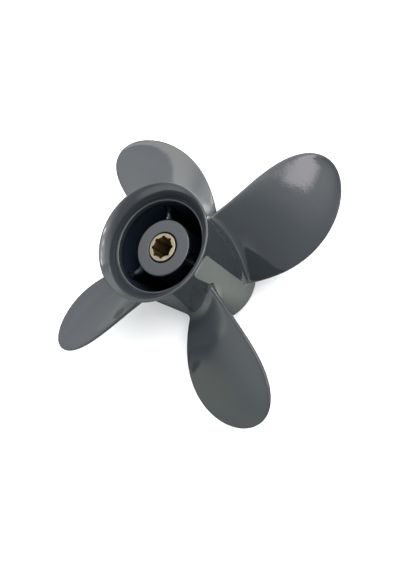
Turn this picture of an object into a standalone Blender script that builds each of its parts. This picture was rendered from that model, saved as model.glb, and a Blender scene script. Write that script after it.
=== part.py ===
# Four-bladed propeller for a small outboard boat motor, with the exhaust led out through its hub.
# Metres. +Z points aft. The origin is the middle of the barrel's forward end, on which it stands.
from math import asin, atan, atan2, cos, degrees, dist, pi, radians, sin, sqrt, tan, tau

import bmesh
import bpy
from mathutils import Matrix

# Whole propeller: 9 1/4 in across, 10 in pitch, right-hand
TIP_RADIUS = 0.1175
HUB_LENGTH = 0.1009
BLADE_COUNT = 4
ASSEMBLY_GAP = 0.0003

# Barrel, the outer hub, with a flare at its aft end
BARREL_RADIUS_FORWARD = 0.0352
BARREL_RADIUS_AFT = 0.0329
BARREL_MIDDLE_RADIUS = (BARREL_RADIUS_FORWARD + BARREL_RADIUS_AFT) / 2
BARREL_BORE_FORWARD = 0.0312
BARREL_BORE_AFT = 0.0302
BARREL_EDGE = 0.0008
FLARE_START = 0.0875
FLARE_RIM_RADIUS = 0.0382
FLARE_RIM_ROUND = 0.0009
BELL_BULGE = 0.0012
BEAD_RADIUS = 0.03045
BEAD_ROUND = 0.0007
BEAD_TOP = 0.0909
LIP_END = 0.0868
LIP_STEP = 0.0006
HUB_SEGMENTS = 64

# Inner hub, a cup that is open forward and holds the bush
INNER_HUB_RADIUS = 0.01885
INNER_HUB_FORWARD = 0.0060
INNER_HUB_AFT = 0.0857
INNER_HUB_BORE = 0.0155
INNER_HUB_HOLE = 0.0103
INNER_HUB_WALL = 0.0045
INNER_HUB_EDGE = 0.0008
INNER_HUB_SEGMENTS = 40

# Webs from the inner hub to the barrel
WEB_ANGLES = (71.4, 191.4, 311.4)
WEB_THICKNESS = 0.0030
WEB_FORWARD = 0.0150
WEB_AFT = 0.0808
WEB_ROUND = 0.0014
WEB_OVERLAP = 0.0015

# Blade outline: x runs from 0 at the root radius to 1 at the tip, lengths lie along the section
ROOT_RADIUS = 0.0329
CHORD = (0.0617, 0.0283, 0.1032, -0.0540)
TIP_POWER = 0.9335
SKEW = (-0.0032, -0.0029, 0.0191, 0.0029)
RAKE = (0.0440, 0.0090, -0.0026)
PITCH = (0.2543, 0.0108, -0.0199)

# Blade section
ROOT_THICKNESS = 0.0085
TIP_THICKNESS = 0.0030
EDGE_RADIUS_ROOT = 0.0017
EDGE_RADIUS_TIP = 0.0014
CAMBER = 0.10
FILLET_ON_FACES = 0.0065
FILLET_ROUND_ENDS = 0.0025
FILLET_LAST_ANGLE = 76.0
ROOT_SINK = 0.0015
BARREL_BLEND = 0.0200
SECTION_STEPS = 10
SPAN_STEPS = 12
FILLET_STEPS = 3

# Bush and sleeve
BUSH_FORWARD = 0.0090
BUSH_AFT = 0.0800
SLEEVE_RADIUS = 0.0094
SLEEVE_FORWARD = 0.0030
SLEEVE_AFT = 0.0862
SLEEVE_EDGE = 0.0004
SLEEVE_BORE_RADIUS = 0.0061
SLEEVE_MOUTH_RADIUS = 0.0068
SLEEVE_MOUTH_DEPTH = 0.0019
SPLINE_COUNT = 8
SPLINE_CIRCLE_RADIUS = 0.0063
SPLINE_GROOVE_RADIUS = 0.0013
SPLINE_PHASE = 20.8

PAINT_GREY = (0.125, 0.135, 0.148)
BRASS_YELLOW = (0.62, 0.50, 0.27)
RUBBER_BLACK = (0.012, 0.012, 0.013)


def clear_scene():
    for obj in list(bpy.data.objects):
        bpy.data.objects.remove(obj, do_unlink=True)


def new_collection(name):
    collection = bpy.data.collections.new(name)
    bpy.context.scene.collection.children.link(collection)
    return collection


def make_material(name, color, roughness, metallic):
    material = bpy.data.materials.new(name)
    material.use_nodes = True
    shader = material.node_tree.nodes["Principled BSDF"]
    shader.inputs["Base Color"].default_value = (*color, 1.0)
    shader.inputs["Roughness"].default_value = roughness
    shader.inputs["Metallic"].default_value = metallic
    return material


def mesh_object(name, collection, bm):
    mesh = bpy.data.meshes.new(name)
    bm.to_mesh(mesh)
    bm.free()
    obj = bpy.data.objects.new(name, mesh)
    collection.objects.link(obj)
    return obj


def hide_as_cutter(obj):
    obj.hide_render = True
    obj.display_type = "WIRE"


def add_boolean(obj, other, operation):
    modifier = obj.modifiers.new(other.name, "BOOLEAN")
    modifier.operation = operation
    modifier.solver = "EXACT"
    modifier.object = other


def arc(center_r, center_z, radius, start, end, steps):
    """Points of an arc in the (r, z) half plane, angles in degrees from +r towards +z."""
    angles = [radians(start + (end - start) * i / steps) for i in range(steps + 1)]
    return [(center_r + radius * cos(a), center_z + radius * sin(a)) for a in angles]


def turned(name, collection, profile, segments):
    """A closed (r, z) profile turned about Z. The profile runs down its outer side."""
    bm = bmesh.new()
    verts = [bm.verts.new((r, 0.0, z)) for r, z in profile]
    for a, b in zip(verts, verts[1:] + verts[:1]):
        bm.edges.new((a, b))
    obj = mesh_object(name, collection, bm)
    screw = obj.modifiers.new("turn", "SCREW")
    screw.axis = "Z"
    screw.angle = tau
    screw.steps = segments
    screw.render_steps = segments
    screw.use_merge_vertices = True
    screw.merge_threshold = 0.00001
    return obj


def barrel_radius(z):
    """Outer radius of the tapered barrel at height z."""
    t = min(max(z / FLARE_START, 0.0), 1.0)
    return BARREL_RADIUS_FORWARD + (BARREL_RADIUS_AFT - BARREL_RADIUS_FORWARD) * t


def bowed_arc(start, stop, bulge, steps):
    """Arc in the (r, z) half plane that bows to the left of the way from start to stop."""
    chord = dist(start, stop)
    radius = (chord ** 2 / 4 + bulge ** 2) / (2 * bulge)
    half_angle = degrees(asin(chord / 2 / radius))
    outward = degrees(atan2(stop[1] - start[1], stop[0] - start[0])) + 90
    center_r = (start[0] + stop[0]) / 2 - (radius - bulge) * cos(radians(outward))
    center_z = (start[1] + stop[1]) / 2 - (radius - bulge) * sin(radians(outward))
    return arc(center_r, center_z, radius, outward + half_angle, outward - half_angle, steps)


def barrel_profile():
    rim_r = FLARE_RIM_RADIUS - FLARE_RIM_ROUND
    rim_z = HUB_LENGTH - FLARE_RIM_ROUND
    rim = (arc(rim_r, rim_z, FLARE_RIM_ROUND, 127, 90, 2)[:-1]
           + arc(rim_r, rim_z, FLARE_RIM_ROUND, 90, -40, 5))

    # The cove leaves the barrel wall upright and bends out to the rim
    cove_end_r, cove_end_z = rim[-1]
    rise, run = cove_end_r - BARREL_RADIUS_AFT, cove_end_z - FLARE_START
    cove_radius = (rise ** 2 + run ** 2) / (2 * rise)
    cove_angle = 180 - 2 * degrees(atan(rise / run))
    cove = arc(BARREL_RADIUS_AFT + cove_radius, FLARE_START, cove_radius, cove_angle, 180, 6)

    edge = BARREL_EDGE
    forward = (arc(BARREL_RADIUS_FORWARD - edge, edge, edge, 0, -90, 2)
               + arc(BARREL_BORE_FORWARD + edge, edge, edge, -90, -180, 2))

    # Inside, the bore narrows to a lip, and a bead parts the lip from the bell of the flare
    lip = [(BARREL_BORE_AFT, LIP_END - LIP_STEP), (BEAD_RADIUS - BEAD_ROUND, LIP_END)]
    bead = arc(BEAD_RADIUS, BEAD_TOP - BEAD_ROUND, BEAD_ROUND, 180, 20, 5)
    bell = bowed_arc(bead[-1], rim[0], BELL_BULGE, 7)
    return rim + cove[1:] + forward + lip + bead + bell[1:-1]


def inner_hub_profile():
    edge = INNER_HUB_EDGE
    return (arc(INNER_HUB_RADIUS - edge, INNER_HUB_AFT - edge, edge, 90, 0, 3)
            + arc(INNER_HUB_RADIUS - edge, INNER_HUB_FORWARD + edge, edge, 0, -90, 2)
            + [(INNER_HUB_BORE, INNER_HUB_FORWARD),
               (INNER_HUB_BORE, INNER_HUB_AFT - INNER_HUB_WALL),
               (INNER_HUB_HOLE, INNER_HUB_AFT - INNER_HUB_WALL),
               (INNER_HUB_HOLE, INNER_HUB_AFT)])


def make_web(name, collection, angle):
    """A plate whose forward and aft edges are rounded over."""
    inner = INNER_HUB_RADIUS - WEB_OVERLAP
    outer = BARREL_BORE_AFT + WEB_OVERLAP
    size = (outer - inner, WEB_THICKNESS, WEB_AFT - WEB_FORWARD)
    middle = ((inner + outer) / 2, 0.0, (WEB_AFT + WEB_FORWARD) / 2)
    bm = bmesh.new()
    bmesh.ops.create_cube(bm, size=1.0)
    bmesh.ops.scale(bm, vec=size, verts=bm.verts)
    ends = [edge for edge in bm.edges if edge.verts[0].co.z == edge.verts[1].co.z
            and edge.verts[0].co.y == edge.verts[1].co.y]
    bmesh.ops.bevel(bm, geom=ends, offset=WEB_ROUND, segments=3, profile=0.5, affect="EDGES")
    bmesh.ops.translate(bm, vec=middle, verts=bm.verts)
    bmesh.ops.rotate(bm, matrix=Matrix.Rotation(radians(angle), 3, "Z"), verts=bm.verts)
    return mesh_object(name, collection, bm)


def polynomial(terms, x):
    return sum(term * x ** power for power, term in enumerate(terms))


def half_chord(x):
    return polynomial(CHORD, x) * sqrt(max(1 - x ** TIP_POWER, 0.0)) / 2


def blade_section(x):
    """Closed loop of (along, across) points of the section at x, leading edge first.

    The points go over the forward, low pressure side and come back over the aft side.
    """
    half = half_chord(x)
    step = 0.002
    slope = (half_chord(min(x + step, 1.0)) - half_chord(max(x - step, 0.0))) / (
        2 * step * (TIP_RADIUS - ROOT_RADIUS))
    edge = EDGE_RADIUS_ROOT + (EDGE_RADIUS_TIP - EDGE_RADIUS_ROOT) * x
    middle = (ROOT_THICKNESS + (TIP_THICKNESS - ROOT_THICKNESS) * x ** 0.8) / 2
    sides = []
    for side in (-1, 1):
        points = []
        for i in range(SECTION_STEPS + 1):
            s = -cos(pi * i / SECTION_STEPS)
            inset = (1 - abs(s)) * half / sqrt(1 + slope ** 2)
            tip_inset = (1 - x) * (TIP_RADIUS - ROOT_RADIUS)
            round_in = max(1 - min(inset, tip_inset) / edge, 0.0)
            crown = edge + (middle - edge) * (1 - s ** 2)
            across = side * crown * sqrt(1 - round_in ** 2)
            points.append((s * half, across + CAMBER * half * (s ** 2 - 1)))
        sides.append(points)
    forward, aft = sides
    return forward + aft[-2:0:-1]


def offset_point(loop, i, distance):
    """Point i of the loop moved outwards, square to the loop."""
    (before_a, before_c), (after_a, after_c) = loop[i - 1], loop[(i + 1) % len(loop)]
    along, across = after_a - before_a, after_c - before_c
    length = sqrt(along ** 2 + across ** 2)
    return loop[i][0] + distance * across / length, loop[i][1] - distance * along / length


def x_at_height(height):
    """Place along the blade of a height above the middle of the barrel's wall."""
    return max((BARREL_MIDDLE_RADIUS + height - ROOT_RADIUS) / (TIP_RADIUS - ROOT_RADIUS), 0.0)


def place_on_section(x, height, along, across):
    """World point on the cylinder at this height, from a place in the flat section."""
    radius = BARREL_MIDDLE_RADIUS + height
    pitch_angle = atan(polynomial(PITCH, x) / (tau * radius))
    along += polynomial(SKEW, x)
    angle = (along * cos(pitch_angle) - across * sin(pitch_angle)) / radius
    z = polynomial(RAKE, x) + along * sin(pitch_angle) + across * cos(pitch_angle)

    # Near the root the section follows the barrel's taper, further out it is a true cylinder
    t = min(max((height - FILLET_ON_FACES) / BARREL_BLEND, 0.0), 1.0)
    r = radius + (barrel_radius(z) - BARREL_MIDDLE_RADIUS) * (1 - t * t * (3 - 2 * t))
    return r * cos(angle), r * sin(angle), z


def fillet_radius(i):
    """Root fillet at point i of the loop: wide on the two faces, small round the two ends."""
    s = cos(pi * i / SECTION_STEPS)
    return FILLET_ROUND_ENDS + (FILLET_ON_FACES - FILLET_ROUND_ENDS) * (1 - s ** 4)


def fillet_row(angle, sink=0.0):
    """One row of the root fillet, from 0 degrees at its top to 90 on the barrel."""
    row = []
    for i in range(2 * SECTION_STEPS):
        height = fillet_radius(i) * (1 - sin(radians(angle)))
        widening = fillet_radius(i) * (1 - cos(radians(angle)))
        if sink:
            widening += (height + sink) * tan(radians(angle)) / 2
            height = -sink
        x = x_at_height(height)
        row.append(place_on_section(x, height, *offset_point(blade_section(x), i, widening)))
    return row


def blade_rows():
    """Rows of points from inside the barrel wall, up the root fillet, out to the tip."""
    last = FILLET_LAST_ANGLE
    rows = [fillet_row(last, ROOT_SINK)]
    rows += [fillet_row(last * i / FILLET_STEPS) for i in range(FILLET_STEPS, 0, -1)]
    start = x_at_height(FILLET_ON_FACES)
    for i in range(SPAN_STEPS):
        x = 1 - (1 - start) * (1 - i / SPAN_STEPS) ** 1.7
        height = ROOT_RADIUS + (TIP_RADIUS - ROOT_RADIUS) * x - BARREL_MIDDLE_RADIUS
        rows.append([place_on_section(x, height, *point) for point in blade_section(x)])
    return rows


def make_blade(name, collection, angle):
    """A loft between unlike sections, so its faces are built row by row."""
    bm = bmesh.new()
    rows = [[bm.verts.new(point) for point in row] for row in blade_rows()]
    tip = bm.verts.new(place_on_section(1.0, TIP_RADIUS - BARREL_MIDDLE_RADIUS, 0.0, 0.0))
    count = len(rows[0])
    # The root's end follows the barrel wall, in strips across the section
    root, half = rows[0], count // 2
    for i in range(half):
        strip = (root[i], root[i + 1], root[(count - i - 1) % count], root[(count - i) % count])
        bm.faces.new(list(dict.fromkeys(strip)))
    for lower, upper in zip(rows, rows[1:]):
        for i in range(count):
            j = (i + 1) % count
            bm.faces.new((lower[i], upper[i], upper[j], lower[j]))
    for i in range(count):
        bm.faces.new((rows[-1][i], tip, rows[-1][(i + 1) % count]))
    bmesh.ops.triangulate(bm, faces=[face for face in bm.faces if len(face.verts) > 3])
    bmesh.ops.recalc_face_normals(bm, faces=bm.faces)
    bmesh.ops.rotate(bm, matrix=Matrix.Rotation(radians(angle), 3, "Z"), verts=bm.verts)
    return mesh_object(name, collection, bm)


def make_casting(collection, cutters, paint):
    """Barrel, inner hub, webs and blades, which are one aluminium casting."""
    casting = turned("propeller_casting", collection, barrel_profile(), HUB_SEGMENTS)
    casting.data.materials.append(paint)
    joined = [turned("inner_hub_form", cutters, inner_hub_profile(), INNER_HUB_SEGMENTS)]
    for number, angle in enumerate(WEB_ANGLES, 1):
        joined.append(make_web(f"web_form_{number}", cutters, angle))
    for number in range(BLADE_COUNT):
        joined.append(make_blade(f"blade_form_{number + 1}", cutters, 360 * number / BLADE_COUNT))
    for form in joined:
        hide_as_cutter(form)
        add_boolean(casting, form, "UNION")
    return casting


def ring(name, collection, outer, bore, low, high, segments):
    """A sleeve whose outer edges are rounded; bore is its inner (r, z) points, low to high."""
    edge = SLEEVE_EDGE
    profile = (arc(outer - edge, high - edge, edge, 90, 0, 2)
               + arc(outer - edge, low + edge, edge, 0, -90, 2) + bore)
    return turned(name, collection, profile, segments)


def make_bush(collection, rubber):
    inner = SLEEVE_RADIUS + ASSEMBLY_GAP
    bush = ring("rubber_bush", collection, INNER_HUB_BORE - ASSEMBLY_GAP,
                [(inner, BUSH_FORWARD), (inner, BUSH_AFT)], BUSH_FORWARD, BUSH_AFT,
                INNER_HUB_SEGMENTS)
    bush.data.materials.append(rubber)
    return bush


def make_sleeve(collection, cutters, brass):
    """Its bore opens to a cone at both mouths, and round grooves run its whole length."""
    bore = [(SLEEVE_MOUTH_RADIUS, SLEEVE_FORWARD),
            (SLEEVE_BORE_RADIUS, SLEEVE_FORWARD + SLEEVE_MOUTH_DEPTH),
            (SLEEVE_BORE_RADIUS, SLEEVE_AFT - SLEEVE_MOUTH_DEPTH),
            (SLEEVE_MOUTH_RADIUS, SLEEVE_AFT)]
    sleeve = ring("splined_sleeve", collection, SLEEVE_RADIUS, bore, SLEEVE_FORWARD, SLEEVE_AFT,
                  INNER_HUB_SEGMENTS)
    sleeve.data.materials.append(brass)
    bm = bmesh.new()
    depth = (SLEEVE_AFT - SLEEVE_FORWARD) * 1.2
    for number in range(SPLINE_COUNT):
        angle = radians(SPLINE_PHASE + 360 * number / SPLINE_COUNT)
        place = Matrix.Translation((SPLINE_CIRCLE_RADIUS * cos(angle), SPLINE_CIRCLE_RADIUS * sin(angle),
                                    (SLEEVE_AFT + SLEEVE_FORWARD) / 2))
        bmesh.ops.create_cone(bm, cap_ends=True, segments=12, radius1=SPLINE_GROOVE_RADIUS,
                              radius2=SPLINE_GROOVE_RADIUS, depth=depth, matrix=place)
    grooves = mesh_object("spline_grooves", cutters, bm)
    hide_as_cutter(grooves)
    add_boolean(sleeve, grooves, "DIFFERENCE")
    return sleeve


def shade_smooth(obj):
    obj.data.shade_smooth()
    obj.data.set_sharp_from_angle(angle=radians(35))


def main():
    clear_scene()
    propeller = new_collection("boat_propeller")
    cutters = new_collection("joined_forms_and_cutters")
    paint = make_material("grey_paint", PAINT_GREY, 0.25, 0.0)
    brass = make_material("brass", BRASS_YELLOW, 0.35, 1.0)
    rubber = make_material("rubber", RUBBER_BLACK, 0.8, 0.0)
    for obj in (make_casting(propeller, cutters, paint), make_bush(propeller, rubber),
                make_sleeve(propeller, cutters, brass)):
        shade_smooth(obj)


main()
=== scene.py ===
# Outboard boat propeller, aft end up: grey enamelled casting, rubber bush and splined brass sleeve
import math

import bpy
import numpy as np
from mathutils import Matrix, Vector


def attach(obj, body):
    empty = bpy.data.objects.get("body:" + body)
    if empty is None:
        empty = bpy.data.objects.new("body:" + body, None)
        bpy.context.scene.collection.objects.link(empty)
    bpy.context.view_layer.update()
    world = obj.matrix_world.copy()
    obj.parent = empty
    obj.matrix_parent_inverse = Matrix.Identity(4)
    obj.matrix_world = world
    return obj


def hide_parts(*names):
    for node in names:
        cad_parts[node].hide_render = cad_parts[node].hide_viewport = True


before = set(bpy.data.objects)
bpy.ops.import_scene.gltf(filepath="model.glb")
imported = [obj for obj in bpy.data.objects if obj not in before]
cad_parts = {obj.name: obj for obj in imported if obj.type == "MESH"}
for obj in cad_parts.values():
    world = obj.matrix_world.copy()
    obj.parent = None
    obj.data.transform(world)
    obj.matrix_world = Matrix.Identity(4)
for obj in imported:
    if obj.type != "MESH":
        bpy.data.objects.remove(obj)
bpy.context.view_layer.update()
print("frame loaded:", sorted(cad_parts))

# photograph's camera, worked out from the outlines of the four equal blades
photoCamera = {
    "place": (0.0948, -0.1189, 0.2995),
    "right": (0.8742, -0.2735, -0.4012),
    "up": (0.3961, 0.8797, 0.2633),
    "back": (0.2809, -0.3891, 0.8773),
    "lens": 25.92,  # for a 36 mm sensor along the picture's long side
    "shift": (-0.01595, -0.03646),
}


def makeCamera(spec):
    data = bpy.data.cameras.new("photoView")
    data.lens = spec["lens"]
    data.shift_x, data.shift_y = spec["shift"]
    data.clip_start = 0.01
    camera = bpy.data.objects.new("photoView", data)
    axes = Matrix((spec["right"], spec["up"], spec["back"])).transposed()
    camera.matrix_world = Matrix.Translation(spec["place"]) @ axes.to_4x4()
    bpy.context.scene.collection.objects.link(camera)
    bpy.context.scene.camera = camera


makeCamera(photoCamera)
print("camera placed")


# a socket that can stand in a sum, so that a material reads as arithmetic
class Value:
    def __init__(self, graph, socket):
        self.graph = graph
        self.socket = socket

    def math(self, operation, first, second):
        return self.graph.node("ShaderNodeMath", {"operation": operation}, {0: first, 1: second})

    def __add__(self, other):
        return self.math("ADD", self, other)

    def __radd__(self, other):
        return self.math("ADD", other, self)

    def __sub__(self, other):
        return self.math("SUBTRACT", self, other)

    def __rsub__(self, other):
        return self.math("SUBTRACT", other, self)

    def __mul__(self, other):
        return self.math("MULTIPLY", self, other)

    def __rmul__(self, other):
        return self.math("MULTIPLY", other, self)

    def __pow__(self, other):
        return self.math("POWER", self, other)


class Graph:
    def __init__(self, tree):
        self.tree = tree
        self.tree.nodes.clear()

    # every node: its type, its settings first, then the values or links of its sockets
    def node(self, kind, settings=None, inputs=None, output=0):
        made = self.tree.nodes.new(kind)
        for name, value in (settings or {}).items():
            setattr(made, name, value)
        for name, value in (inputs or {}).items():
            if isinstance(value, Value):
                self.tree.links.new(value.socket, made.inputs[name])
            else:
                made.inputs[name].default_value = value
        return Value(self, made.outputs[output] if made.outputs else None)

    # object coordinates, in metres
    def place(self):
        return self.node("ShaderNodeTexCoord", {}, {}, output=3)

    # distance from the shaft's axis, and height along it
    def axial(self, place):
        split = self.node("ShaderNodeSeparateXYZ", {}, {"Vector": place})
        x, y, z = (Value(self, output) for output in split.socket.node.outputs)
        return (x * x + y * y) ** 0.5, z

    def noise(self, place, size, detail):
        return self.node("ShaderNodeTexNoise", {"noise_dimensions": "3D"},
                         {"Vector": place, "Scale": 1 / size, "Detail": detail, "Roughness": 0.5})

    def dot(self, first, second):
        return self.node("ShaderNodeVectorMath", {"operation": "DOT_PRODUCT"},
                         {0: first, 1: second}, output=1)

    def distance(self, first, second):
        return self.node("ShaderNodeVectorMath", {"operation": "DISTANCE"},
                         {0: first, 1: second}, output=1)

    def scale(self, vector, amount):
        return self.node("ShaderNodeVectorMath", {"operation": "SCALE"}, {0: vector, 3: amount})

    # 0 below low, 1 above high, smooth between; the other way round where low is the larger
    def step(self, value, low, high):
        return self.node("ShaderNodeMapRange", {"interpolation_type": "SMOOTHSTEP"},
                         {"Value": value, "From Min": low, "From Max": high})

    def mixColor(self, factor, first, second):
        return self.node("ShaderNodeMix", {"data_type": "RGBA"},
                         {0: factor, 6: first, 7: second}, output=2)

    def finish(self, shader):
        self.node("ShaderNodeOutputMaterial", {}, {"Surface": shader})


def newMaterial(name):
    material = bpy.data.materials.new(name)
    material.use_nodes = True
    return material, Graph(material.node_tree)


def shade(color, factor):
    return tuple(factor * part for part in color[:3]) + (1.0,)


enamel = {
    "color": (0.0235, 0.0275, 0.0315, 1.0), "mottleSize": 0.022, "mottle": 0.05,
    "roughness": 0.05, "roughnessSpread": 0.03,
    "peelSize": 0.0013, "peelDepth": 0.000022,
    "waveSize": 0.0120, "waveDepth": 0.00008,
    # the exhaust passages: matt below their lip, with painted shade: coloured nearly black on the hub and
    # dark blue on the barrel
    "hubSideShade": (0.0030, 0.0042, 0.0085, 1.0), "barrelSideShade": (0.0070, 0.0105, 0.0180, 1.0),
    "sideChange": (0.0250, 0.0290), "passageRoughness": 0.42, "passageShine": 0.22,
    "passageWall": (0.0312, 0.0315), "passageTop": (0.0862, 0.0870),
    "hubEdge": (0.0189, 0.0191), "hubEnd": (0.0845, 0.0850),  # the hub's aft end stays glossy
    # a painted dark reflection with a ragged outline, a dull brown spot near the root of one blade
    "darkReflectionPlace": (-0.0565, -0.0188, 0.0606), "darkReflectionFade": (0.0043, 0.0053),
    "darkReflectionColor": (0.050, 0.050, 0.044, 1.0), "darkReflectionRoughness": 0.6, "darkReflectionShine": 0.12,
    "raggedSize": 0.003, "raggedReach": 0.004,
}


def makeEnamel(spec):
    material, graph = newMaterial("greyEnamel")
    place = graph.place()
    radius, z = graph.axial(place)
    mottle = graph.noise(place, spec["mottleSize"], 3.0)
    color = graph.mixColor(mottle, shade(spec["color"], 1 - spec["mottle"]),
                           shade(spec["color"], 1 + spec["mottle"]))
    wave = graph.noise(place, spec["waveSize"], 1.5)
    peel = graph.noise(place, spec["peelSize"], 2.0)
    height = wave * spec["waveDepth"] + peel * spec["peelDepth"]
    bump = graph.node("ShaderNodeBump", {}, {"Height": height, "Strength": 1.0, "Distance": 1.0})
    gloss = graph.node("ShaderNodeBsdfPrincipled", {}, {
        "Base Color": color, "Roughness": spec["roughness"] + spec["roughnessSpread"] * mottle,
        "Normal": bump, "IOR": 1.5})

    passage = (1 - graph.step(radius, *spec["passageWall"])) * (1 - graph.step(z, *spec["passageTop"]))
    hubEnd = graph.step(z, *spec["hubEnd"]) * (1 - graph.step(radius, *spec["hubEdge"]))
    inside = passage * (1 - hubEnd)
    # painted shade inside the passages: nearly black on the hub side, dark blue on the barrel side
    depth = graph.mixColor(graph.step(radius, *spec["sideChange"]), spec["hubSideShade"], spec["barrelSideShade"])
    matt = graph.node("ShaderNodeBsdfPrincipled", {}, {
        "Base Color": depth, "Roughness": spec["passageRoughness"] + 0.1 * mottle, "Normal": bump,
        "Specular IOR Level": spec["passageShine"]})

    ragged = spec["raggedReach"] * (graph.noise(place, spec["raggedSize"], 3.0) - 0.5)
    # painted dark reflection: a dull brown spot near one blade's root
    darkReflection = 1 - graph.step(graph.distance(place, spec["darkReflectionPlace"]) + ragged, *spec["darkReflectionFade"])
    darkReflectionShader = graph.node("ShaderNodeBsdfPrincipled", {}, {
        "Base Color": spec["darkReflectionColor"], "Roughness": spec["darkReflectionRoughness"] + 0.1 * mottle,
        "Normal": bump, "Specular IOR Level": spec["darkReflectionShine"]})
    outside = graph.node("ShaderNodeMixShader", {}, {0: darkReflection, 1: gloss, 2: darkReflectionShader})
    graph.finish(graph.node("ShaderNodeMixShader", {}, {0: inside, 1: outside, 2: matt}))
    return material


webPaint = {
    "color": (0.0020, 0.0024, 0.0036, 1.0), "roughness": 0.48, "shine": 0.04,
    "mottleSize": 0.004, "mottleDepth": 0.0001,
    # painted light at the hub ends of two webs, glossy grey, with a pale painted glint at the middle of
    # each
    "paintedLightColor": (0.024, 0.031, 0.042, 1.0), "paintedLightReach": (0.0036, 0.0058), "paintedLightRoughness": 0.14,
    "paintedGlintColor": (0.70, 0.72, 0.76, 1.0), "paintedGlintReach": (0.0006, 0.0011),
    "ends": (
        {"paintedLightCentre": (0.0045, 0.0210, 0.0815), "bead": (0.0070, 0.0210, 0.0818)},
        {"paintedLightCentre": (-0.0215, -0.0046, 0.0815), "bead": (-0.0220, -0.0044, 0.0820)},
    ),
}


# a web is matt and coloured nearly black as painted shade, with painted light at the hub ends of two webs:
# glossy grey, and a pale painted glint at the middle of each
def makeWebPaint(spec):
    material, graph = newMaterial("webEnamel")
    place = graph.place()
    mottle = graph.noise(place, spec["mottleSize"], 3.0)
    bump = graph.node("ShaderNodeBump", {}, {
        "Height": mottle * spec["mottleDepth"], "Strength": 0.6, "Distance": 1.0})
    matt = graph.node("ShaderNodeBsdfPrincipled", {}, {
        "Base Color": spec["color"], "Roughness": spec["roughness"] + 0.1 * mottle, "Normal": bump,
        "Specular IOR Level": spec["shine"]})
    paintedLight = 0.0
    paintedGlint = 0.0
    # painted light and a pale painted glint at the hub ends of two webs only
    for end in spec["ends"]:
        paintedLight = paintedLight + (1 - graph.step(graph.distance(place, end["paintedLightCentre"]), *spec["paintedLightReach"]))
        paintedGlint = paintedGlint + (1 - graph.step(graph.distance(place, end["bead"]), *spec["paintedGlintReach"]))
    gloss = graph.node("ShaderNodeBsdfPrincipled", {}, {
        "Base Color": graph.mixColor(paintedGlint, spec["paintedLightColor"], spec["paintedGlintColor"]),
        "Roughness": spec["paintedLightRoughness"] + 0.08 * mottle, "Normal": bump, "IOR": 1.5})
    graph.finish(graph.node("ShaderNodeMixShader", {}, {0: paintedLight, 1: matt, 2: gloss}))
    return material


brass = {
    "color": (0.265, 0.236, 0.150, 1.0),
    "stained": (0.225, 0.185, 0.140, 1.0), "stainSize": 0.0035, "stainRise": (0.35, 0.65),
    "deepColor": (0.460, 0.340, 0.160, 1.0), "boreWall": (0.0074, 0.0078), "boreTop": (0.0835, 0.0857),
    "roughness": 0.34, "roughnessSpread": 0.12,
    "ringSize": 0.00042, "ringDepth": 0.000004,
}


def makeBrass(spec):
    material, graph = newMaterial("turnedBrass")
    place = graph.place()
    radius, z = graph.axial(place)
    ring = graph.node("ShaderNodeMath", {"operation": "SINE"},
                      {0: radius * (2 * math.pi / spec["ringSize"])})
    stain = graph.noise(place, spec["stainSize"], 3.0)
    deep = (1 - graph.step(radius, *spec["boreWall"])) * (1 - graph.step(z, *spec["boreTop"]))
    pale = graph.mixColor(graph.step(stain, *spec["stainRise"]), spec["color"], spec["stained"])
    bump = graph.node("ShaderNodeBump", {}, {
        "Height": ring * spec["ringDepth"], "Strength": 1.0, "Distance": 1.0})
    graph.finish(graph.node("ShaderNodeBsdfPrincipled", {}, {
        "Base Color": graph.mixColor(deep, pale, spec["deepColor"]),
        "Roughness": spec["roughness"] + spec["roughnessSpread"] * stain,
        "Metallic": 1.0, "Normal": bump}))
    return material


rubber = {
    "color": (0.010, 0.010, 0.011, 1.0), "bloomed": (0.020, 0.020, 0.021, 1.0), "bloomSize": 0.006,
    "roughness": 0.62, "roughnessSpread": 0.2, "grainSize": 0.0006, "grainDepth": 0.00003,
}


def makeRubber(spec):
    material, graph = newMaterial("blackRubber")
    place = graph.place()
    grain = graph.noise(place, spec["grainSize"], 3.0)
    bloom = graph.noise(place, spec["bloomSize"], 2.0)
    bump = graph.node("ShaderNodeBump", {}, {
        "Height": grain * spec["grainDepth"], "Strength": 0.5, "Distance": 1.0})
    graph.finish(graph.node("ShaderNodeBsdfPrincipled", {}, {
        "Base Color": graph.mixColor(bloom, spec["color"], spec["bloomed"]),
        "Roughness": spec["roughness"] + spec["roughnessSpread"] * grain, "Normal": bump}))
    return material


enamelPaint = makeEnamel(enamel)
blackWebPaint = makeWebPaint(webPaint)
sleeveBrass = makeBrass(brass)
bushRubber = makeRubber(rubber)
print("materials made")


def makePiece(name, points, faces, material, node):
    mesh = bpy.data.meshes.new(name)
    mesh.from_pydata([tuple(p) for p in points], [], faces)
    mesh.validate()
    mesh.shade_smooth()
    mesh.materials.append(material)
    piece = bpy.data.objects.new(name, mesh)
    bpy.context.scene.collection.objects.link(piece)
    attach(piece, "root")
    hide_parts(node)


# points of an arc in the (r, z) half plane, degrees from +r towards +z
def arcPoints(centerR, centerZ, radius, start, end, steps):
    angles = np.radians(np.linspace(start, end, steps + 1))
    return [(centerR + radius * math.cos(a), centerZ + radius * math.sin(a)) for a in angles]


# fills long straight stretches of a profile, so that smooth shading stays flat on them
def refine(profile, longest):
    fine = []
    for (r0, z0), (r1, z1) in zip(profile, profile[1:] + profile[:1]):
        count = max(int(math.hypot(r1 - r0, z1 - z0) / longest), 1)
        fine += [(r0 + (r1 - r0) * i / count, z0 + (z1 - z0) * i / count) for i in range(count)]
    return fine


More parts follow.
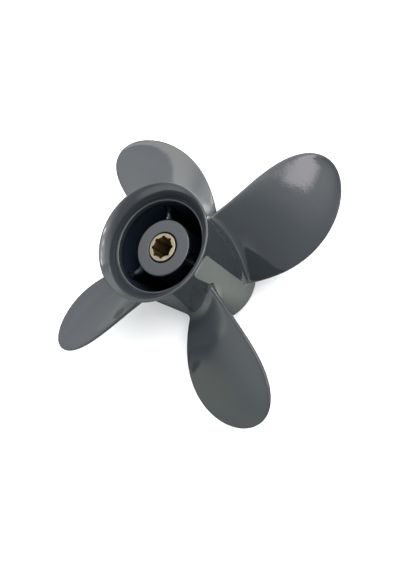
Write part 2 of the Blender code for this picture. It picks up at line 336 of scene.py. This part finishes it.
# a closed (r, z) profile that runs down its outer side, turned about the shaft's axis
def turnedPiece(name, profile, segments, material, node):
    angles = np.linspace(0, 2 * np.pi, segments, endpoint=False)
    r, z = np.array(profile).T
    points = np.stack([np.outer(np.cos(angles), r), np.outer(np.sin(angles), r),
                       np.outer(np.ones(segments), z)], axis=2).reshape(-1, 3)
    count = len(profile)
    faces = []
    for i in range(segments):
        here, there = i * count, (i + 1) % segments * count
        for j in range(count):
            k = (j + 1) % count
            faces.append((here + j, here + k, there + k, there + j))
    makePiece(name, points, faces, material, node)


barrel = {
    "length": 0.1009,
    "forwardRadius": 0.0352, "aftRadius": 0.0329,
    "forwardBore": 0.0312, "aftBore": 0.0302,
    "edge": 0.0008,
    "flareStart": 0.0875, "rimRadius": 0.0382, "rimRound": 0.0009, "rimArc": (127, -40),
    "bellBulge": 0.0012,  # how far the bell bows in from a straight line
    "beadRadius": 0.03045, "beadRound": 0.0007, "beadTop": 0.0909,
    "lipEnd": 0.0868, "lipStep": 0.0006,
    "segments": 288,
}


def barrelRadius(z):
    t = np.clip(z / barrel["flareStart"], 0, 1)
    return barrel["forwardRadius"] + (barrel["aftRadius"] - barrel["forwardRadius"]) * t


def barrelBore(z):
    t = np.clip(z / barrel["lipEnd"], 0, 1)
    return barrel["forwardBore"] + (barrel["aftBore"] - barrel["forwardBore"]) * t


# arc between two (r, z) points that bows to the left of the way from start to stop
def bowedArc(start, stop, bulge, steps):
    chord = math.dist(start, stop)
    radius = (chord ** 2 / 4 + bulge ** 2) / (2 * bulge)
    halfAngle = math.degrees(math.asin(chord / 2 / radius))
    outward = math.degrees(math.atan2(stop[1] - start[1], stop[0] - start[0])) + 90
    c, d = math.cos(math.radians(outward)), math.sin(math.radians(outward))
    centerR = (start[0] + stop[0]) / 2 - c * (radius - bulge)
    centerZ = (start[1] + stop[1]) / 2 - d * (radius - bulge)
    return arcPoints(centerR, centerZ, radius, outward + halfAngle, outward - halfAngle, steps)


def barrelProfile(spec):
    rimRound, beadRound = spec["rimRound"], spec["beadRound"]
    rim = arcPoints(spec["rimRadius"] - rimRound, spec["length"] - rimRound, rimRound,
                    *spec["rimArc"], 20)
    endR, endZ = rim[-1]
    rise, run = endR - spec["aftRadius"], endZ - spec["flareStart"]
    coveRadius = (rise ** 2 + run ** 2) / (2 * rise)
    coveAngle = 180 - 2 * math.degrees(math.atan(rise / run))
    cove = arcPoints(spec["aftRadius"] + coveRadius, spec["flareStart"], coveRadius, coveAngle, 180, 24)
    edge = spec["edge"]
    forward = (arcPoints(spec["forwardRadius"] - edge, edge, edge, 0, -90, 8)
               + arcPoints(spec["forwardBore"] + edge, edge, edge, -90, -180, 8))
    lipRadius = spec["beadRadius"] - beadRound
    lip = [(spec["aftBore"], spec["lipEnd"] - spec["lipStep"]), (lipRadius, spec["lipEnd"])]
    bead = arcPoints(spec["beadRadius"], spec["beadTop"] - beadRound, beadRound, 180, 20, 16)
    bell = bowedArc(bead[-1], rim[0], spec["bellBulge"], 30)
    return refine(rim + cove[1:] + forward + lip + bead + bell[1:-1], 0.0012)


turnedPiece("barrelAndFlare", barrelProfile(barrel), barrel["segments"],
            enamelPaint, "propeller_casting")

innerHub = {
    "radius": 0.01885, "forward": 0.0060, "aft": 0.0857, "bore": 0.0155,
    "hole": 0.0103, "wall": 0.0045, "edge": 0.0009, "holeEdge": 0.0004, "segments": 192,
}


def innerHubProfile(spec):
    edge, holeEdge = spec["edge"], spec["holeEdge"]
    seat = spec["aft"] - spec["wall"]
    return refine(
        arcPoints(spec["radius"] - edge, spec["aft"] - edge, edge, 90, 0, 10)
        + arcPoints(spec["radius"] - edge, spec["forward"] + edge, edge, 0, -90, 8)
        + [(spec["bore"] + holeEdge, spec["forward"]), (spec["bore"], spec["forward"] + holeEdge),
           (spec["bore"], seat), (spec["hole"], seat)]
        + arcPoints(spec["hole"] + holeEdge, spec["aft"] - holeEdge, holeEdge, 180, 90, 6), 0.0012)


turnedPiece("innerHub", innerHubProfile(innerHub), innerHub["segments"],
            enamelPaint, "propeller_casting")

web = {
    "angles": (71.4, 191.4, 311.4), "thickness": 0.0030, "forward": 0.0150, "aft": 0.0808,
    "hubFillet": 0.0045, "barrelFillet": 0.0030,
    "endShare": 0.15,  # how much of a fillet is left at the two ends
    "sweep": 0.0120,  # its aft edge sweeps up at both walls over this height
    "sink": 0.0008,  # how far it reaches into either wall
    "endSteps": 8, "heightSteps": 39, "crossSteps": 32,
}


# how much a fillet of one radius widens a web on one side, at a distance from the wall
def filletWidth(radius, away):
    away = np.clip(away, 0, radius)
    return radius - np.sqrt(radius ** 2 - (radius - away) ** 2)


# a web thickens into a fillet where it meets either hub, and its two ends are rounded over
def makeWeb(number, angle, spec):
    half = spec["thickness"] / 2
    rows = []
    ends = np.sin(np.linspace(0, np.pi / 2, spec["endSteps"] + 1))
    low = spec["forward"] + half
    high = spec["aft"] - half
    heights = [low - half * e for e in ends[::-1]]
    heights += list(np.linspace(low, high, spec["heightSteps"] + 1)[1:-1])
    heights += [high + half * e for e in ends]
    for z in heights:
        nose = min(z - spec["forward"], spec["aft"] - z, half) / half
        fullness = math.sqrt(max(1 - (1 - nose) ** 2, 0.0004))
        inner = innerHub["radius"]
        outer = float(barrelBore(z))
        spread = (1 - np.cos(np.linspace(0, np.pi, spec["crossSteps"] + 1))) / 2
        across = inner + (outer - inner) * spread
        radii = np.concatenate([[inner - spec["sink"]], across, [outer + spec["sink"]]])
        flare = (filletWidth(spec["hubFillet"], radii - inner)
                 + filletWidth(spec["barrelFillet"], outer - radii))
        width = half * fullness + flare * (spec["endShare"] + (1 - spec["endShare"]) * fullness)
        rise = z + flare * min(max(1 - (spec["aft"] - z) / spec["sweep"], 0), 1)
        rows.append(list(zip(radii, width, rise)) + list(zip(radii[::-1], -width[::-1], rise[::-1])))
    count = len(rows[0])
    points = np.array(rows).reshape(-1, 3)
    turn = Matrix.Rotation(math.radians(angle), 3, "Z")
    faces = [tuple(range(count))[::-1], tuple(range(len(points) - count, len(points)))]
    for i in range(len(rows) - 1):
        for j in range(count):
            k = (j + 1) % count
            faces.append((i * count + j, i * count + k, (i + 1) * count + k, (i + 1) * count + j))
    points = [turn @ Vector(p) for p in points]
    makePiece(f"web{number}", points, [face[::-1] for face in faces],
              blackWebPaint, "propeller_casting")


for number, angle in enumerate(web["angles"], 1):
    makeWeb(number, angle, web)
print("hub made")

blade = {
    "tipRadius": 0.1173, "rootRadius": 0.0329,
    "chord": (0.0617, 0.0283, 0.1032, -0.0540), "tipPower": 0.9335,
    "skew": (-0.0032, -0.0029, 0.0191, 0.0029),
    "rake": (0.0440, 0.0090, -0.0026),
    "pitch": (0.2543, 0.0108, -0.0199),
    "rootThickness": 0.0085, "tipThickness": 0.0030, "thinPower": 0.8,
    # the faces close to these widths at the edges, and a bevel narrows them to the fine edge
    "rootEdge": 0.0017, "tipEdge": 0.0014,
    "fineEdge": 0.0010, "fineStart": 0.12, "bevelPower": 10, "edgeSquare": 3.0,
    "camber": 0.10,
    "faceFillet": 0.0065, "endFillet": 0.0025, "sinks": (0.0010, 0.0004),
    "barrelBlend": 0.0200,
    "steps": 56, "spans": 96, "tipCrowding": 1.7, "filletRows": 14,
}
middleRadius = (barrel["forwardRadius"] + barrel["aftRadius"]) / 2
span = blade["tipRadius"] - blade["rootRadius"]


def series(terms, x):
    return sum(term * x ** power for power, term in enumerate(terms))


def halfChord(x):
    narrowing = np.sqrt(np.clip(1 - np.clip(x, 0, 1) ** blade["tipPower"], 0, None))
    return series(blade["chord"], x) * narrowing / 2


# flat sections, one row for each x, from the leading edge over the forward side and back
def sectionRows(x):
    steps = blade["steps"]
    s = -np.cos(np.pi * np.arange(steps + 1) / steps)
    s = np.concatenate([s, s[-2:0:-1]])
    side = np.concatenate([-np.ones(steps + 1), np.ones(steps - 1)])
    x = x[:, None]
    half = halfChord(x)
    reach = 0.002
    change = halfChord(np.minimum(x + reach, 1)) - halfChord(np.maximum(x - reach, 0))
    slope = change / (2 * reach * span)
    edge = blade["rootEdge"] + (blade["tipEdge"] - blade["rootEdge"]) * x
    thinning = blade["rootThickness"] - blade["tipThickness"]
    middle = (blade["rootThickness"] - thinning * x ** blade["thinPower"]) / 2
    rooted = np.exp(-x / blade["fineStart"])
    fine = blade["fineEdge"] + (edge - blade["fineEdge"]) * rooted
    square = blade["edgeSquare"] - (blade["edgeSquare"] - 2) * rooted
    inset = np.minimum((1 - np.abs(s)) * half / np.sqrt(1 + slope ** 2), (1 - x) * span)
    roundIn = np.clip(1 - inset / fine, 0, 1)
    crown = edge + (middle - edge) * (1 - s ** 2) - (edge - fine) * np.abs(s) ** blade["bevelPower"]
    rounded = (1 - roundIn ** square) ** (1 / square)
    return s * half, side * crown * rounded + blade["camber"] * half * (s ** 2 - 1)


# sections wrapped round the shaft, at a height above the barrel's middle radius
def placeRows(x, height, along, across):
    radius = middleRadius + height
    pitchAngle = np.arctan(series(blade["pitch"], x) / (2 * np.pi * radius))
    along = along + series(blade["skew"], x)
    angle = (along * np.cos(pitchAngle) - across * np.sin(pitchAngle)) / radius
    z = series(blade["rake"], x) + along * np.sin(pitchAngle) + across * np.cos(pitchAngle)
    t = np.clip((height - blade["faceFillet"]) / blade["barrelBlend"], 0, 1)
    r = radius + (barrelRadius(z) - middleRadius) * (1 - t * t * (3 - 2 * t))
    return np.stack([r * np.cos(angle), r * np.sin(angle), z], axis=-1)


def xAtHeight(height):
    return np.clip((middleRadius + height - blade["rootRadius"]) / span, 0, 1)


# one row round a blade's root, which the fillet widens more the nearer it is to the barrel
def filletRow(angle, sink):
    steps = blade["steps"]
    s = np.cos(np.pi * np.arange(2 * steps) / steps)
    radius = blade["endFillet"] + (blade["faceFillet"] - blade["endFillet"]) * (1 - s ** 4)
    height = radius * (1 - math.sin(angle)) - sink
    widening = radius * (1 - math.cos(angle)) + sink * 1.5
    x = xAtHeight(height)
    along, across = sectionRows(x)
    order = np.arange(2 * steps)
    runA = along[order, (order + 1) % (2 * steps)] - along[order, order - 1]
    runC = across[order, (order + 1) % (2 * steps)] - across[order, order - 1]
    length = np.hypot(runA, runC)
    a = along[order, order] + widening * runC / length
    c = across[order, order] - widening * runA / length
    return placeRows(x, height, a, c)


def bladeMesh():
    rows = [filletRow(math.pi / 2, sink) for sink in blade["sinks"]]
    for i in range(blade["filletRows"], 0, -1):
        rows.append(filletRow(math.pi / 2 * i / blade["filletRows"], 0.0))
    start = xAtHeight(blade["faceFillet"])
    x = 1 - (1 - start) * (1 - np.arange(blade["spans"]) / blade["spans"]) ** blade["tipCrowding"]
    along, across = sectionRows(x)
    height = blade["rootRadius"] + span * x - middleRadius
    rows += list(placeRows(x[:, None], height[:, None], along, across))
    tipHeight = np.array([blade["tipRadius"] - middleRadius])
    tip = placeRows(np.ones(1), tipHeight, np.zeros(1), np.zeros(1))
    count = 2 * blade["steps"]
    points = np.concatenate([np.array(rows).reshape(-1, 3), tip])
    faces = []
    for i in range(blade["steps"]):
        strip = (i, i + 1, (count - i - 1) % count, (count - i) % count)
        faces.append(tuple(dict.fromkeys(strip))[::-1])
    last = (len(rows) - 1) * count
    for here in range(0, last, count):
        there = here + count
        for i in range(count):
            j = (i + 1) % count
            faces.append((here + i, here + j, there + j, there + i))
    faces += [(last + i, last + (i + 1) % count, len(points) - 1) for i in range(count)]
    return points, faces


bladePoints, bladeFaces = bladeMesh()
for number in range(4):
    turn = np.array(Matrix.Rotation(math.radians(90 * number), 3, "Z"))
    makePiece(f"blade{number + 1}", bladePoints @ turn.T, bladeFaces,
              enamelPaint, "propeller_casting")
print("blades made")

sleeve = {
    "radius": 0.0094, "forward": 0.0030, "aft": 0.0862, "edge": 0.0004,
    "minor": 0.0061, "grooveCircle": 0.0065, "grooveRadius": 0.0012, "grooves": 8, "phase": 20.8,
    "mouthRadius": 0.0067, "mouthDepth": 0.0019, "columns": 384,
}


# bore radius round the sleeve at one depth: round grooves, and a cone at the bore's mouth
def boreRadius(angle, depth, spec):
    pitchStep = 2 * np.pi / spec["grooves"]
    local = (angle - math.radians(spec["phase"]) + pitchStep / 2) % pitchStep - pitchStep / 2
    under = np.clip(spec["grooveRadius"] ** 2 - (spec["grooveCircle"] * np.sin(local)) ** 2, 0, None)
    groove = np.where(under > 0, spec["grooveCircle"] * np.cos(local) + np.sqrt(under), 0)
    narrowing = spec["mouthRadius"] - spec["minor"]
    cone = spec["mouthRadius"] - narrowing * min(depth / spec["mouthDepth"], 1)
    return np.maximum(groove, cone)


def makeSleeve(spec):
    angle = np.linspace(0, 2 * np.pi, spec["columns"], endpoint=False)
    edge, forward, aft = spec["edge"], spec["forward"], spec["aft"]
    shoulder = spec["radius"] - edge
    rows = []
    for a in np.radians(np.linspace(-90, 0, 5)):
        rows.append((shoulder + edge * math.cos(a) + 0 * angle, forward + edge + edge * math.sin(a)))
    rows += [(spec["radius"] + 0 * angle, z) for z in np.linspace(forward + 0.002, aft - 0.002, 6)]
    for a in np.radians(np.linspace(0, 90, 5)):
        rows.append((shoulder + edge * math.cos(a) + 0 * angle, aft - edge + edge * math.sin(a)))
    face = boreRadius(angle, 0, spec)
    rows += [(shoulder * (1 - t) + face * t, aft) for t in (0.1, 0.5, 0.9, 1.0)]
    depths = [t * spec["mouthDepth"] for t in (0.02, 0.3, 0.6, 0.9, 1.0, 1.1, 2.0)]
    rows += [(boreRadius(angle, depth, spec), aft - depth) for depth in depths]
    straight = boreRadius(angle, aft, spec)
    rows += [(straight, z) for z in np.linspace(aft - 0.006, forward + 0.004, 8)]
    rows += [(boreRadius(angle, depth, spec), forward + depth) for depth in depths[::-1]]
    rows += [(face, forward), ((face + shoulder) / 2, forward)]
    points = np.array([np.stack([r * np.cos(angle), r * np.sin(angle), z + 0 * angle], axis=1)
                       for r, z in rows])
    count, total = spec["columns"], len(rows)
    faces = []
    for i in range(total):
        here, there = i * count, (i + 1) % total * count
        for j in range(count):
            k = (j + 1) % count
            faces.append((here + j, here + k, there + k, there + j))
    makePiece("splinedSleeve", points.reshape(-1, 3), faces, sleeveBrass, "splined_sleeve")


makeSleeve(sleeve)

bush = {
    "outer": 0.0153, "inner": 0.0096, "forward": 0.0090, "aft": 0.0800, "edge": 0.0006,
    "dish": 0.0008, "segments": 160,
}


def bushProfile(spec):
    edge = spec["edge"]
    middle = (spec["outer"] + spec["inner"]) / 2
    dishHalf = (spec["outer"] - spec["inner"]) / 2 - 2.2 * edge
    dish = [(middle + dishHalf * math.cos(a), spec["forward"] + spec["dish"] * math.sin(a))
            for a in np.linspace(0, np.pi, 15)]
    return refine(arcPoints(spec["outer"] - edge, spec["aft"] - edge, edge, 90, 0, 6)
                  + arcPoints(spec["outer"] - edge, spec["forward"] + edge, edge, 0, -90, 6)
                  + dish
                  + arcPoints(spec["inner"] + edge, spec["forward"] + edge, edge, -90, -180, 6)
                  + arcPoints(spec["inner"] + edge, spec["aft"] - edge, edge, 180, 90, 6), 0.002)


turnedPiece("rubberBush", bushProfile(bush), bush["segments"], bushRubber, "rubber_bush")
print("sleeve and bush made")

studio = {
    "floorSize": 6.0, "floorColor": (0.90, 0.90, 0.90, 1.0), "floorRoughness": 0.9,
    # in reflections the floor carries the object's painted shadow, dim in a wedge to the left; outside it
    # each edge lets a share of light in
    "floorLit": (0.85, 0.88, 0.80, 1.0), "floorDim": (0.062, 0.070, 0.090, 1.0),
    "dimEdges": (
        {"side": (-0.19, -0.98, 0.0), "rise": (0.02, 0.14), "share": 0.65},
        {"side": (0.57, 0.82, 0.0), "rise": (-0.03, 0.07), "share": 0.45},
        {"side": (1.0, 0.0, 0.0), "rise": (-0.01, 0.03), "share": 1.0},
    ),
    # and nearly black in a band to the right, which darkens the lower edges of the blades
    "darkBand": {"side": (0.8, -0.6, 0.0), "rise": (0.088, 0.100), "fall": (0.24, 0.34),
                 "color": (0.01, 0.01, 0.01, 1.0)},
    "backdrop": (1.0, 1.0, 1.0, 1.0),
    "dim": (0.62, 0.64, 0.67),  # light from every side
    # soft sources: azimuth and elevation, half angles where each is full and gone, light,
    # and straight edges, each a direction that faces into the light and the cosines it rises between
    "sources": (
        {"at": (60, 60), "reach": (10, 90), "light": (0.55, 0.57, 0.60), "edges": ()},
        {"at": (25, 58), "reach": (20, 60), "light": (1.2, 1.2, 1.2), "edges": ((0, 90, 0.50, 0.75),)},
        {"at": (15, 58), "reach": (25, 60), "light": (1.1, 1.1, 1.05),
         "edges": ((-66.9, 15.5, -0.004, 0.012),)},
        {"at": (30, 60), "reach": (25, 40), "light": (1.8, 1.7, 1.5),
         "edges": ((-66.9, 15.5, -0.004, 0.012), (-66.9, 15.5, 0.30, 0.10))},
        {"at": (215, 8), "reach": (22, 51), "light": (1.1, 1.17, 1.06),
         "edges": ((0, -90, -0.60, -0.38),)},
        {"at": (158, 23), "reach": (4, 16), "light": (0.40, 0.42, 0.18), "edges": ()},
        {"at": (112, 46), "reach": (6, 30), "light": (0.6, 0.6, 0.6), "edges": ()},
        {"at": (122, 12), "reach": (6, 24), "light": (0.4, 0.4, 0.4), "edges": ()},
        {"at": (30, 8), "reach": (10, 60), "light": (0.5, 0.5, 0.5), "edges": ()},
        {"at": (339, 54), "reach": (2, 6), "light": (14.0, 14.0, 14.0), "edges": ()},
        {"at": (33, 40), "reach": (2, 6), "light": (10.0, 10.0, 10.0), "edges": ()},
        {"at": (62, 20), "reach": (6, 25), "light": (1.0, 1.0, 0.9), "edges": ()},
        {"at": (345, 48), "reach": (8, 22), "light": (1.6, 1.6, 1.6), "edges": ((0, 90, 0.56, 0.72),)},
        {"at": (10, 38), "reach": (4, 14), "light": (1.8, 1.8, 1.7), "edges": ()},
        {"at": (357, 41), "reach": (2, 6), "light": (5.0, 5.0, 4.7), "edges": ()},
        {"at": (20, 43), "reach": (3, 8), "light": (3.0, 3.2, 3.5), "edges": ()},
        {"at": (38, 5), "reach": (3, 9), "light": (1.2, 1.2, 1.2), "edges": ()},
        {"at": (277.8, 65.7), "reach": (3, 9), "light": (4.7, 4.4, 4.8),
         "edges": ((352.5, 65.5, 0.848, 0.860), (200, 0, 0.0, 0.05))},
    ),
    "darkSide": {"at": (156, -5), "reach": (8, 17), "share": 0.7},  # here that much light is missing
}


# the camera sees a pale floor; bounced light sees it with a painted shadow, dim to the left, and
# reflections the dark band too
def makeFloor(spec):
    half = spec["floorSize"] / 2
    mesh = bpy.data.meshes.new("studioFloor")
    corners = [(-half, -half, 0), (half, -half, 0), (half, half, 0), (-half, half, 0)]
    mesh.from_pydata(corners, [], [(0, 1, 2, 3)])
    floor = bpy.data.objects.new("studioFloor", mesh)
    bpy.context.scene.collection.objects.link(floor)
    material, graph = newMaterial("paleFloor")
    place = graph.place()
    # painted shadow of the object on the floor, seen only by bounced and reflected light
    dimness = 1.0
    for edge in spec["dimEdges"]:
        outside = graph.step(graph.dot(place, edge["side"]), *edge["rise"])
        dimness = dimness * (1 - edge["share"] * outside)
    reflected = graph.mixColor(dimness, spec["floorLit"], spec["floorDim"])
    dark = spec["darkBand"]
    across = graph.dot(place, dark["side"])
    band = graph.step(across, *dark["rise"]) * (1 - graph.step(across, *dark["fall"]))
    glossyRay = graph.node("ShaderNodeLightPath", {}, {}, output=3)
    reflected = graph.mixColor(glossyRay * band, reflected, dark["color"])
    cameraRay = graph.node("ShaderNodeLightPath", {}, {}, output=0)
    color = graph.mixColor(cameraRay, reflected, spec["floorColor"])
    graph.finish(graph.node("ShaderNodeBsdfPrincipled", {}, {
        "Base Color": color, "Roughness": spec["floorRoughness"]}))
    mesh.materials.append(material)


def skyDirection(azimuth, elevation):
    a, e = math.radians(azimuth), math.radians(elevation)
    return (math.cos(a) * math.cos(e), math.sin(a) * math.cos(e), math.sin(e))


# the camera sees a plain backdrop; the object is lit by soft sources in a dimmer sky
def makeSky(spec):
    world = bpy.data.worlds.new("studioSky")
    world.use_nodes = True
    graph = Graph(world.node_tree)
    way = graph.node("ShaderNodeTexCoord", {}, {}, output=0)

    def spot(source):
        outer, inner = (math.cos(math.radians(angle)) for angle in source["reach"][::-1])
        return graph.step(graph.dot(way, skyDirection(*source["at"])), outer, inner)

    total = spec["dim"]
    for source in spec["sources"]:
        amount = spot(source)
        for azimuth, elevation, low, high in source["edges"]:
            amount = amount * graph.step(graph.dot(way, skyDirection(azimuth, elevation)), low, high)
        light = graph.scale(source["light"], amount)
        total = graph.node("ShaderNodeVectorMath", {"operation": "ADD"}, {0: total, 1: light})
    kept = 1 - spot(spec["darkSide"]) * spec["darkSide"]["share"]
    lit = graph.node("ShaderNodeBackground", {}, {"Color": graph.scale(total, kept)})
    plain = graph.node("ShaderNodeBackground", {}, {"Color": spec["backdrop"]})
    cameraRay = graph.node("ShaderNodeLightPath", {}, {}, output=0)
    mixed = graph.node("ShaderNodeMixShader", {}, {0: cameraRay, 1: lit, 2: plain})
    graph.node("ShaderNodeOutputWorld", {}, {"Surface": mixed})
    bpy.context.scene.world = world


makeFloor(studio)
makeSky(studio)
bpy.context.scene.view_settings.view_transform = "Standard"
print("studio made")
